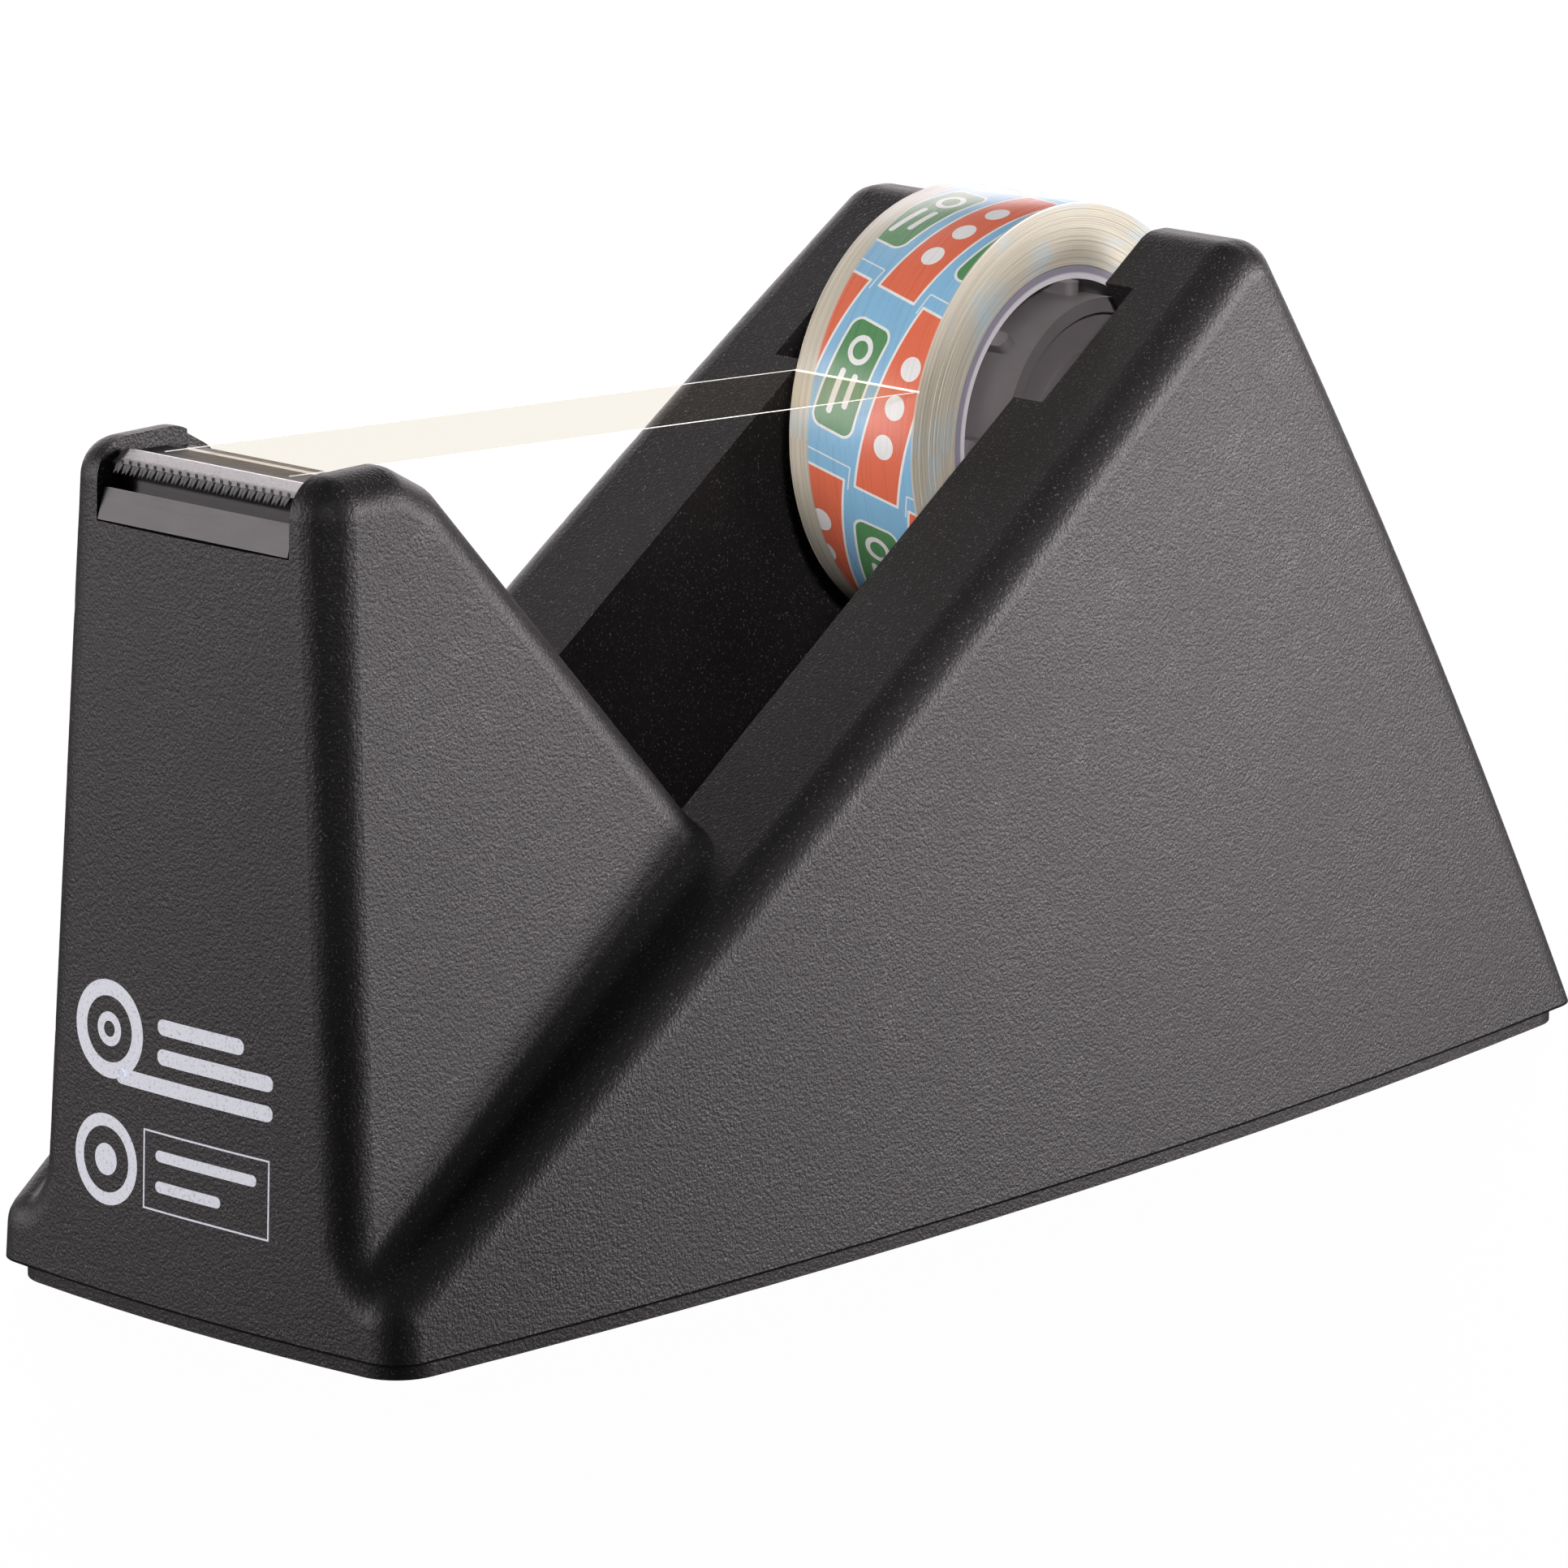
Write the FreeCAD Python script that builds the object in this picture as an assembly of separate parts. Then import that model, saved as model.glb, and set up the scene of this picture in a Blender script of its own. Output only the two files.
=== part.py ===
"""Desktop tape dispenser with a small roll of clear tape.

Frame: millimetres, +Z up, origin at the centre of the footprint on the
table. The blade end is at -X, the roll end at +X, and Y runs across.
"""
import FreeCAD
import Part
import math
import os

V = FreeCAD.Vector

# ---- housing -------------------------------------------------------------
LENGTH = 161.6            # lower edge of the housing, front to rear
END_WIDTH = 49.4          # lower edge of the housing at its corners
SIDE_BOW = 4.6            # how far each long side swells at mid length
FRONT_BOW = 1.3           # how far the front edge swells
SEAM_Z = 1.9              # height of the housing's lower edge
SIDE_DRAFT = 3.2          # degrees, every side face leans inward
FRONT_DRAFT = 2.0         # degrees, the front faces lean back
TOP_Z = 82.0              # height of the two rear horns
TOE_Z = 7.6               # height of the slope at the front edge
TOE_SETBACK = 2.5         # where the slope has that height, behind the front
HORN_FLAT = 4.2           # length of the flat on top of each horn
HORN_SETBACK = 47.05      # rear end of that flat, ahead of the rear
REAR_BULGE = 1.0          # how far the rear face swells
EDGE_ROUND = 4.5          # corners of the plate and of the pad
SKIN = 2.4                # moulding thickness
TOE_X = -LENGTH / 2 + TOE_SETBACK
HORN_X = LENGTH / 2 - HORN_SETBACK - HORN_FLAT
SLOPE_ANGLE = math.degrees(math.atan2(TOP_Z - TOE_Z, HORN_X - TOE_X))

# ---- front tower ---------------------------------------------------------
TOWER_WIDTH = 39.4        # at the housing's lower edge
TOWER_TOP_Z = 75.6        # crown of the two cheeks
CROWN_DEPTH = 9.9         # cheek crown, front face to rear end
NECK_DEPTH = 4.6          # further back, where the rear edge starts
NECK_DROP = 2.6           # and how much lower that is
TOWER_REAR_ANGLE = 48.3   # degrees, fall of the rear edges
TOWER_ROUND = 3.5         # every outer edge of wedge and tower
GROOVE_ROUND = 2.5        # hollow round between tower and slopes

# ---- channel for the roll ------------------------------------------------
CHANNEL_WIDTH = 25.6
CHANNEL_FLOOR = 31.0      # height of the flat part of the floor
CHANNEL_START = 13.4      # from the tower's foot to the channel's front wall
CHANNEL_LEAN = 8.0        # the front wall moves back this far going down
CHANNEL_WALL = 2.0        # thickness of the walls and floor of the channel

# ---- roll, hub and slots -------------------------------------------------
ROLL_SETBACK = 56.6       # axis of the roll, ahead of the rear
ROLL_DROP = 17.9          # and below the horns
ROLL_X = LENGTH / 2 - ROLL_SETBACK
ROLL_Z = TOP_Z - ROLL_DROP
TAPE_WIDTH = 15.0
ROLL_RADIUS = 20.5        # outside of the wound tape
CORE_RADIUS = 14.7        # outside of the core ring
CORE_WALL = 1.2
CORE_FIT = 0.03           # between the core and the hub's ribs
WINDING_FIT = 0.02        # between the wound tape and the core
HUB_WALL = 1.4
HUB_GAP = 1.5             # from each end of the hub to the channel's wall
HUB_LENGTH = CHANNEL_WIDTH - 2 * HUB_GAP
HUB_RIBS = 8
RIB_WIDTH = 1.6
RIB_HEIGHT = 1.17
RIB_MARGIN = 1.5          # how far the ribs stick out of the tape on each side
RIB_LENGTH = TAPE_WIDTH + 2 * RIB_MARGIN
RIB_TOP = CORE_RADIUS - CORE_WALL - CORE_FIT
HUB_RADIUS = RIB_TOP - RIB_HEIGHT
CAP_THICKNESS = 1.6
CAP_SINK = 0.8            # the caps' faces lie this far inside the rim
CAP_FIT = 0.02            # between cap and drum
BOSS_RADIUS = 7.5         # end bosses that turn in the slots
BOSS_FIT = 0.08           # running clearance round the bosses
BOSS_REACH = 2.8          # how far a boss enters its slot
BOSS_BORE = 4.5           # radius of the blind hollow in each boss
BOSS_BORE_DEPTH = 2.4
BOSS_END_GAP = 0.6        # from a boss's end to the bottom of its slot
SLOT_DEPTH = BOSS_REACH + BOSS_END_GAP

# ---- blade and its holder ------------------------------------------------
HOLDER_WIDTH = 22.8
HOLDER_GAP = 0.15         # round the holder in its pocket
HOLDER_BOTTOM = 69.0      # lower edge of the holder's smooth front face
HOLDER_REAR = 11.6        # from the tower's foot to the holder's rear face
FACE_SETBACK = 2.7        # foot of the smooth face behind the tower's foot
FACE_HEIGHT = 2.7
FACE_LEAN = 17.0          # degrees, how far the smooth face leans back
GROOVE_DEPTH = 1.7        # shadow groove between the face and the teeth
SEAT_SETBACK = 6.3        # blade's rear bend behind the tower's foot
SEAT_Z = 74.5             # top of the blade at that bend
LANDING_FALL = 0.45       # landing behind the blade falls this much
LANDING_STEP = 0.3        # and the wall behind it is this much lower again
BLADE_MARGIN = 0.4        # of the holder beside each end of the blade
BLADE_WIDTH = HOLDER_WIDTH - 2 * BLADE_MARGIN
BLADE_THICKNESS = 0.45
BLADE_LENGTH = 1.9        # sloping strip in front of the bend
BLADE_ANGLE = 27.0        # degrees, slope of that strip
BLADE_HEEL = 2.6          # flange behind the bend, down into the holder
HEEL_FIT = 0.04           # slot round the flange
SEAT_SHARE = 0.75         # share of the sloping strip that the holder backs
TOOTH_PITCH = 1.0
TOOTH_WIDTH = 0.9
TOOTH_LENGTH = 0.95
TOOTH_ROOT = 0.1          # how far a tooth starts inside the strip
TOOTH_BEVEL = 0.1         # share of the thickness left free above and below a tooth
TOOTH_ANGLE = 50.0        # degrees, teeth point further down than the strip

# ---- leader strand -------------------------------------------------------
FILM = 0.2                # stands for the thin film
FILM_GAP = 0.15           # film above the landing
LEADER_ANGLE = 163.0      # degrees, where the strand leaves the roll
LEADER_GAP = 0.3          # strand to the roll's surface
LEADER_BACK = 0.6         # front end of the strand behind the blade's bend

# ---- base ----------------------------------------------------------------
PLATE_INSET = 1.1         # base plate inside the housing's outline
PLATE_BOTTOM = 0.2        # underside of the plate's edge above the table
PLATE_LIP = 3.0           # height of the locating rim inside the housing
LIP_WALL = 1.4
LIP_GAP = 0.3
PAD_THICK = 0.8           # anti-slip pad, in a recess of the plate
PAD_INSET = 3.0           # pad inside the housing's outline
PAD_GAP = 0.1             # round the pad in its recess
SCREW_MARGIN_X = 22.8     # screws inside each end of the housing
SCREW_MARGIN_Y = 11.2     # and inside its corners
SCREW_RADIUS = 1.5
SCREW_FIT = 0.05
SCREW_HEAD = 2.8
SCREW_HEAD_THICK = 1.0
SCREW_LENGTH = 11.0       # without its point
SCREW_CROSS = 0.6         # width and depth of the driver's cross
SEAT_WALL = 1.4           # of the plate round a screw head
SEAT_RISE = 1.4           # height of the plate's screw seats above the seam
POST_RADIUS = 3.6
POST_GAP = 0.15           # posts and weights stand this far above the plate
REAR_WEIGHT_AHEAD = 46.2  # how far it reaches ahead of the roll's axis
REAR_WEIGHT_BEHIND = 25.8
REAR_WEIGHT_TOP = 27.0
REAR_WEIGHT_WIDTH = 38.0
FRONT_WEIGHT_SETBACK = 5.8
FRONT_WEIGHT_DEPTH = 8.0
FRONT_WEIGHT_TOP = 58.0
FRONT_WEIGHT_WIDTH = 24.0
WEIGHT_ROUND = 1.5

# ---- construction --------------------------------------------------------
PAST = 8.0                # cutting shapes run this far past the housing
CLEAR = 1.0               # and this far past a face inside it
PROBE_REACH = 0.05        # radius of the disc that tells how sharp an edge is
SHARP_SHARE = 0.47        # an outer edge fills less of that disc than this
HOLLOW_SHARE = 0.55       # an inner edge fills more
EPS = 0.02


def tan(angle):
    return math.tan(math.radians(angle))


def along(angle):
    """Unit vector in the XZ plane, angle up from +X."""
    a = math.radians(angle)
    return V(math.cos(a), 0, math.sin(a))


def slope_x(z):
    return TOE_X + (z - TOE_Z) / tan(SLOPE_ANGLE)


def foot_x(z):
    """Front face of the tower on the middle plane."""
    return -LENGTH / 2 + (z - SEAM_Z) * tan(FRONT_DRAFT)


def arc(a, b, c):
    return Part.Arc(a, b, c).toShape()


def face_of(points):
    return Part.Face(Part.makePolygon(points + [points[0]]))


def across(face, width):
    """Extrude a face drawn in the XZ plane evenly to both sides."""
    solid = face.extrude(V(0, width, 0))
    solid.translate(V(0, -width / 2, 0))
    return solid


def box(x0, x1, width, z0, z1):
    return Part.makeBox(x1 - x0, width, z1 - z0, V(x0, -width / 2, z0))


def barrel(radius, y0, y1, x=ROLL_X, z=ROLL_Z):
    """A cylinder along Y from y0 to y1."""
    return Part.makeCylinder(radius, y1 - y0, V(x, y0, z), V(0, 1, 0))


def middle_of(edge):
    return edge.valueAt((edge.FirstParameter + edge.LastParameter) / 2)


def filled_share(shape, edge):
    """Share of a small disc square to the middle of an edge that lies inside."""
    t = (edge.FirstParameter + edge.LastParameter) / 2
    circle = Part.Circle(edge.valueAt(t), V(*edge.tangentAt(t)), PROBE_REACH)
    disc = Part.Face(Part.Wire(circle.toShape()))
    return disc.common(shape).Area / disc.Area


# ---- outlines ------------------------------------------------------------
def plan_wire(z, inset, rear_inset=None):
    """Footprint: bowed sides and front, straight rear."""
    lean = (z - SEAM_Z) * tan(SIDE_DRAFT)
    half = END_WIDTH / 2 - inset - lean
    front = foot_x(z) + FRONT_BOW + inset
    rear = LENGTH / 2 - (rear_inset or inset)
    mid = (front + rear) / 2
    front_l = V(front, half, z)
    front_r = V(front, -half, z)
    rear_l = V(rear, half, z)
    rear_r = V(rear, -half, z)
    side_r = arc(front_r, V(mid, -half - SIDE_BOW, z), rear_r)
    side_l = arc(rear_l, V(mid, half + SIDE_BOW, z), front_l)
    nose = arc(front_l, V(front - FRONT_BOW, 0, z), front_r)
    return Part.Wire([side_r, Part.makeLine(rear_r, rear_l), side_l, nose])


def plan_prism(inset=0.0):
    """Tall prism on the footprint whose sides and front lean inward."""
    low = plan_wire(SEAM_Z, inset)
    high = plan_wire(TOP_Z + PAST, inset)
    return Part.makeLoft([low, high], True, True)


def wedge_profile(inset=0.0):
    """Side view of the wedge: slope, horn top and bulged rear face."""
    shift = inset / math.sin(math.radians(SLOPE_ANGLE))
    top = TOP_Z - inset
    horn = HORN_X + HORN_FLAT
    chord = V(LENGTH / 2 - horn, 0, SEAM_Z - TOP_Z)
    out = V(-chord.z, 0, chord.x).normalize()
    back = inset / out.x
    low_front = V(slope_x(SEAM_Z) + shift, 0, SEAM_Z)
    horn_front = V(slope_x(top) + shift, 0, top)
    horn_rear = V(horn - back + (TOP_Z - top) * chord.x / -chord.z, 0, top)
    low_rear = V(LENGTH / 2 - back, 0, SEAM_Z)
    belly = (horn_rear + low_rear) * 0.5 + out * REAR_BULGE
    edges = [
        Part.makeLine(low_front, horn_front),
        Part.makeLine(horn_front, horn_rear),
        arc(horn_rear, belly, low_rear),
        Part.makeLine(low_rear, low_front),
    ]
    return Part.Face(Part.Wire(edges))


def tower_profile():
    """Side view of the tower: crown, neck and falling rear edge."""
    crown = foot_x(TOWER_TOP_Z) + CROWN_DEPTH
    neck = V(crown + NECK_DEPTH, 0, TOWER_TOP_Z - NECK_DROP)
    low_z = TOE_Z + PAST
    low_x = neck.x + (neck.z - low_z) / tan(TOWER_REAR_ANGLE)
    front = -LENGTH / 2 - PAST
    return face_of([V(front, 0, SEAM_Z), V(front, 0, TOWER_TOP_Z), V(crown, 0, TOWER_TOP_Z),
                    neck, V(low_x, 0, low_z), V(low_x, 0, SEAM_Z)])


def tower_sides(inset=0.0):
    """Long prism between the two leaning side faces of the tower."""
    half = TOWER_WIDTH / 2 - inset
    high = TOP_Z + PAST
    lean = (high - SEAM_Z) * tan(SIDE_DRAFT)
    front = -LENGTH / 2 - PAST
    ring = [V(front, -half, SEAM_Z), V(front, half, SEAM_Z),
            V(front, half - lean, high), V(front, -half + lean, high)]
    return face_of(ring).extrude(V(LENGTH, 0, 0))


def channel_solid(grow=0.0):
    """Space for the roll, open at the top and over the rear face."""
    radius = ROLL_Z - CHANNEL_FLOOR + grow
    floor = CHANNEL_FLOOR - grow
    start = -LENGTH / 2 + CHANNEL_START - grow
    high = TOP_Z + PAST
    lip = V(start, 0, SEAT_Z)
    front_low = V(start + CHANNEL_LEAN, 0, floor)
    under = V(ROLL_X, 0, floor)
    corner = math.sqrt(0.5) * radius
    bend = V(ROLL_X + corner, 0, ROLL_Z - corner)
    rear = V(ROLL_X + radius, 0, ROLL_Z)
    rear_high = V(rear.x, 0, high)
    front_high = V(start, 0, high)
    edges = [
        Part.makeLine(front_high, lip),
        Part.makeLine(lip, front_low),
        Part.makeLine(front_low, under),
        arc(under, bend, rear),
        Part.makeLine(rear, rear_high),
        Part.makeLine(rear_high, front_high),
    ]
    return across(Part.Face(Part.Wire(edges)), CHANNEL_WIDTH + 2 * grow)


def slot_solid(grow=0.0):
    """Both U slots that guide the hub's bosses, square to the slope."""
    radius = BOSS_RADIUS + BOSS_FIT + grow
    width = CHANNEL_WIDTH + 2 * (SLOT_DEPTH + grow)
    seat = barrel(radius, -width / 2, width / 2)
    guide = box(-radius, radius, width, 0, TOP_Z)
    guide.rotate(V(0, 0, 0), V(0, 1, 0), -SLOPE_ANGLE)
    guide.translate(V(ROLL_X, 0, ROLL_Z))
    return seat.fuse(guide)


# ---- housing -------------------------------------------------------------
def outer_body():
    """Wedge and tower in one, with every outer edge rounded."""
    wedge = across(wedge_profile(), END_WIDTH * 2)
    tower = across(tower_profile(), END_WIDTH * 2).common(tower_sides())
    body = wedge.fuse(tower).common(plan_prism()).removeSplitter()
    groove = [e for e in upper_edges(body)
              if filled_share(body, e) > HOLLOW_SHARE and abs(middle_of(e).y) > CLEAR]
    body = body.makeFillet(GROOVE_ROUND, groove)
    notch = tower_foot_of_rear()
    sharp = [e for e in upper_edges(body)
             if filled_share(body, e) < SHARP_SHARE and side_distance(e, notch) > 2 * GROOVE_ROUND]
    return body.makeFillet(TOWER_ROUND, sharp)


def upper_edges(body):
    return [e for e in body.Edges if middle_of(e).z > SEAM_Z + EPS]


def side_distance(edge, point):
    """Distance from an edge's middle to a point, seen from the side."""
    gap = middle_of(edge) - point
    return math.hypot(gap.x, gap.z)


def tower_foot_of_rear():
    """Where the tower's rear edge meets the slope."""
    crown = foot_x(TOWER_TOP_Z) + CROWN_DEPTH
    neck_x = crown + NECK_DEPTH
    neck_z = TOWER_TOP_Z - NECK_DROP
    fall = tan(TOWER_REAR_ANGLE)
    rise = tan(SLOPE_ANGLE)
    x = (neck_z - TOE_Z + neck_x * fall + TOE_X * rise) / (rise + fall)
    return V(x, 0, TOE_Z + (x - TOE_X) * rise)


def inner_void():
    """Hollow of the moulding, open at the bottom, round the channel."""
    wedge = across(wedge_profile(SKIN), END_WIDTH * 2)
    start = -LENGTH / 2 + CHANNEL_START - CHANNEL_WALL
    column = box(-LENGTH / 2 - PAST, start + CHANNEL_LEAN, END_WIDTH * 2, SEAM_Z,
                 HOLDER_BOTTOM - 2 * SKIN)
    column = column.common(tower_sides(SKIN))
    void = wedge.fuse(column).common(plan_prism(SKIN))
    void = void.cut(channel_solid(CHANNEL_WALL))
    return void.cut(slot_solid(CHANNEL_WALL))


def screw_spots():
    x = LENGTH / 2 - SCREW_MARGIN_X
    y = END_WIDTH / 2 - SCREW_MARGIN_Y
    return [V(-x, -y, 0), V(-x, y, 0), V(x, -y, 0), V(x, y, 0)]


def screw_posts():
    posts = []
    for spot in screw_spots():
        base = spot + V(0, 0, SEAM_Z + SEAT_RISE + POST_GAP)
        post = Part.makeCylinder(POST_RADIUS, HOLDER_BOTTOM - base.z, base)
        posts.append(post)
    return posts[0].multiFuse(posts[1:])


def screw_holes(radius, z0, z1):
    holes = [Part.makeCylinder(radius, z1 - z0, spot + V(0, 0, z0)) for spot in screw_spots()]
    return Part.makeCompound(holes)


def landing_notch():
    """Lowers the wall behind the holder, so that the film clears it."""
    front = -LENGTH / 2 + HOLDER_REAR
    rear = -LENGTH / 2 + CHANNEL_START + CLEAR
    low = SEAT_Z - LANDING_FALL - LANDING_STEP
    return box(front, rear, HOLDER_WIDTH + 2 * HOLDER_GAP, low, TOP_Z)


def make_housing():
    body = outer_body()
    void = inner_void().cut(screw_posts())
    shell = body.cut(void)
    for space in (channel_solid(), slot_solid(), holder_block(HOLDER_GAP), landing_notch()):
        shell = shell.cut(space)
    pilot_top = PAD_THICK + SCREW_LENGTH + SCREW_RADIUS + CLEAR
    return shell.cut(screw_holes(SCREW_RADIUS + SCREW_FIT, 0, pilot_top))


# ---- blade and holder ----------------------------------------------------
def holder_block(grow=0.0):
    """Block of the holder; with a gap it is the pocket it sits in."""
    front = -LENGTH / 2 + (-PAST if grow else FACE_SETBACK)
    rear = -LENGTH / 2 + HOLDER_REAR + grow
    top = TOP_Z if grow else SEAT_Z
    return box(front, rear, HOLDER_WIDTH + 2 * grow, HOLDER_BOTTOM - grow, top)


def bend_point():
    """Top of the blade where the strip turns down into the holder."""
    return V(-LENGTH / 2 + SEAT_SETBACK, 0, SEAT_Z)


def strip_down():
    """Unit vector down the sloping front strip of the blade."""
    return along(180 + BLADE_ANGLE)


def strip_under():
    """From the top of the sloping strip to its underside."""
    return along(BLADE_ANGLE - 90) * BLADE_THICKNESS


def blade_section(grow=0.0):
    """Side view of the strip: heel flange, bend and sloping front."""
    bend = bend_point()
    under = strip_under()
    tip = bend + strip_down() * BLADE_LENGTH
    heel = bend + V(0, 0, -BLADE_HEEL)
    t = BLADE_THICKNESS + grow
    inner = bend + V(-t, 0, 0) + under
    return face_of([bend + V(grow, 0, grow), heel + V(grow, 0, -grow), heel + V(-t, 0, -grow),
                    inner + V(0, 0, -grow), tip + under + V(0, 0, -grow), tip + V(0, 0, grow)])


def make_blade():
    strip = across(blade_section(), BLADE_WIDTH)
    root = bend_point() + strip_down() * (BLADE_LENGTH - TOOTH_ROOT)
    point = along(180 + TOOTH_ANGLE) * TOOTH_LENGTH
    thick = strip_under()
    count = int(BLADE_WIDTH / TOOTH_PITCH)
    teeth = []
    for i in range(count):
        y = (i - (count - 1) / 2) * TOOTH_PITCH
        half = V(0, TOOTH_WIDTH / 2, 0)
        middle = root + V(0, y, 0)
        teeth.append(tooth(middle, half, thick, point))
    return strip.multiFuse(teeth).removeSplitter()


def tooth(middle, half, thick, point):
    """A four-sided pyramid on the front edge of the strip."""
    top = middle + thick * TOOTH_BEVEL
    low = middle + thick * (1 - TOOTH_BEVEL)
    a = top - half
    b = top + half
    c = low + half
    d = low - half
    tip = (top + low) * 0.5 + point
    rings = [[a, b, c, d], [a, b, tip], [b, c, tip], [c, d, tip], [d, a, tip]]
    return Part.makeSolid(Part.makeShell([face_of(ring) for ring in rings]))


def make_holder():
    block = holder_block()
    foot = V(-LENGTH / 2 + FACE_SETBACK, 0, HOLDER_BOTTOM)
    edge = foot + V(FACE_HEIGHT * tan(FACE_LEAN), 0, FACE_HEIGHT)
    bend = bend_point()
    far = foot + V(-PAST, 0, 0)
    nose = bend + strip_down() * (BLADE_LENGTH * SEAT_SHARE) + strip_under()
    groove = V(edge.x + GROOVE_DEPTH, 0, edge.z)
    mouth = V(groove.x, 0, nose.z - BLADE_THICKNESS / 2)
    front_cut = face_of([far + V(0, 0, -CLEAR), foot + V(0, 0, -CLEAR), foot, edge, groove,
                         mouth, nose, bend, bend + V(0, 0, PAST), far + V(0, 0, 2 * PAST)])
    rear = V(-LENGTH / 2 + HOLDER_REAR + EPS, 0, SEAT_Z)
    fall = face_of([bend + V(-PAST, 0, 0), rear + V(0, 0, -LANDING_FALL), rear + V(0, 0, CLEAR),
                    bend + V(-PAST, 0, CLEAR)])
    block = block.cut(across(front_cut, END_WIDTH)).cut(across(fall, END_WIDTH))
    return block.cut(across(blade_section(HEEL_FIT), END_WIDTH))


# ---- roll ----------------------------------------------------------------
def make_drum():
    half = HUB_LENGTH / 2
    drum = barrel(HUB_RADIUS, -half, half)
    bore = barrel(HUB_RADIUS - HUB_WALL, -half - CLEAR, half + CLEAR)
    ribs = [rib(i * 360.0 / HUB_RIBS) for i in range(HUB_RIBS)]
    return drum.multiFuse(ribs).cut(bore)


def rib(angle):
    """An axial rib with rounded ends that holds the core."""
    y = RIB_LENGTH / 2 - RIB_WIDTH / 2
    low = HUB_RADIUS - HUB_WALL / 2
    high = RIB_TOP - low
    bar = Part.makeBox(RIB_WIDTH, 2 * y, high, V(-RIB_WIDTH / 2, -y, low))
    end_a = Part.makeCylinder(RIB_WIDTH / 2, high, V(0, -y, low))
    end_b = Part.makeCylinder(RIB_WIDTH / 2, high, V(0, y, low))
    piece = bar.multiFuse([end_a, end_b])
    piece.rotate(V(0, 0, 0), V(0, 1, 0), angle)
    piece.translate(V(ROLL_X, 0, ROLL_Z))
    return piece


def make_cap(side):
    """End disc with the boss that turns in the slot on that side."""
    face = HUB_LENGTH / 2 - CAP_SINK
    disc = barrel(HUB_RADIUS - HUB_WALL - CAP_FIT, face - CAP_THICKNESS, face)
    end = CHANNEL_WIDTH / 2 + BOSS_REACH
    boss = barrel(BOSS_RADIUS, face - EPS, end)
    cap = disc.fuse(boss).removeSplitter()
    cap = cap.cut(barrel(BOSS_BORE, end - BOSS_BORE_DEPTH, end + CLEAR))
    if side < 0:
        cap.rotate(V(ROLL_X, 0, ROLL_Z), V(0, 0, 1), 180)
    return cap


def ring(outer, inner):
    half = TAPE_WIDTH / 2
    return barrel(outer, -half, half).cut(barrel(inner, -half - CLEAR, half + CLEAR))


def make_leader():
    """Strand of film from the landing to where it leaves the roll."""
    start = bend_point() + V(LEADER_BACK, 0, FILM_GAP)
    leave = along(LEADER_ANGLE) * (ROLL_RADIUS + LEADER_GAP)
    end = V(ROLL_X, 0, ROLL_Z) + leave
    up = V(0, 0, FILM)
    return across(face_of([start, end, end + up, start + up]), TAPE_WIDTH)


# ---- base ----------------------------------------------------------------
def plan_slab(inset, z0, z1, rear_inset=None):
    """Flat plate on the footprint with rounded corners."""
    wire = plan_wire(SEAM_Z, inset, rear_inset)
    wire.translate(V(0, 0, z0 - SEAM_Z))
    slab = Part.Face(wire).extrude(V(0, 0, z1 - z0))
    corners = [e for e in slab.Edges if max(e.BoundBox.XLength, e.BoundBox.YLength) < EPS]
    return slab.makeFillet(EDGE_ROUND, corners)


def rear_lean():
    """How far the rear face leans forward for each unit of height."""
    return HORN_SETBACK / (TOP_Z - SEAM_Z)


def rear_slant():
    """Level thickness of the rear wall for each unit of its real thickness."""
    return math.hypot(1, rear_lean())


def seat_depth():
    """Height that the screws' heads bear against, seen from below."""
    return PAD_THICK + SCREW_HEAD_THICK + SCREW_FIT


def make_plate():
    plate = plan_slab(PLATE_INSET, PLATE_BOTTOM, SEAM_Z)
    rim_inset = SKIN + LIP_GAP
    rim_rear = SKIN * rear_slant() + PLATE_LIP * rear_lean() + LIP_GAP
    rim_top = SEAM_Z + PLATE_LIP
    rim = plan_slab(rim_inset, SEAM_Z - EPS, rim_top, rim_rear)
    inner = plan_slab(rim_inset + LIP_WALL, SEAM_Z - CLEAR, rim_top + CLEAR, rim_rear + LIP_WALL)
    rim = rim.cut(inner)
    seats = screw_holes(SCREW_HEAD + SEAT_WALL, SEAM_Z - EPS, SEAM_Z + SEAT_RISE)
    plate = plate.multiFuse([rim] + seats.Solids)
    plate = plate.cut(plan_slab(PAD_INSET - PAD_GAP, 0, PAD_THICK))
    plate = plate.cut(screw_holes(SCREW_HEAD + SCREW_FIT, 0, seat_depth()))
    return plate.cut(screw_holes(SCREW_RADIUS + SCREW_FIT, 0, rim_top))


def make_screws():
    screws = []
    for spot in screw_spots():
        base = spot + V(0, 0, seat_depth() - SCREW_HEAD_THICK)
        head = Part.makeCylinder(SCREW_HEAD, SCREW_HEAD_THICK, base)
        shank = Part.makeCylinder(SCREW_RADIUS, SCREW_LENGTH, base)
        point = Part.makeCone(SCREW_RADIUS, SCREW_RADIUS / 4, SCREW_RADIUS, base + V(0, 0, SCREW_LENGTH))
        arm = Part.makeBox(SCREW_HEAD, SCREW_CROSS, SCREW_CROSS,
                           base - V(SCREW_HEAD / 2, SCREW_CROSS / 2, 0))
        other = arm.copy()
        other.rotate(base, V(0, 0, 1), 90)
        screws.append(head.multiFuse([shank, point]).cut(arm).cut(other).removeSplitter())
    return Part.makeCompound(screws)


def weight(front, rear, width, top):
    block = box(front, rear, width, SEAM_Z + POST_GAP, top)
    return block.makeFillet(WEIGHT_ROUND, block.Edges)


def make_rear_weight():
    return weight(ROLL_X - REAR_WEIGHT_AHEAD, ROLL_X + REAR_WEIGHT_BEHIND,
                  REAR_WEIGHT_WIDTH, REAR_WEIGHT_TOP)


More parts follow.
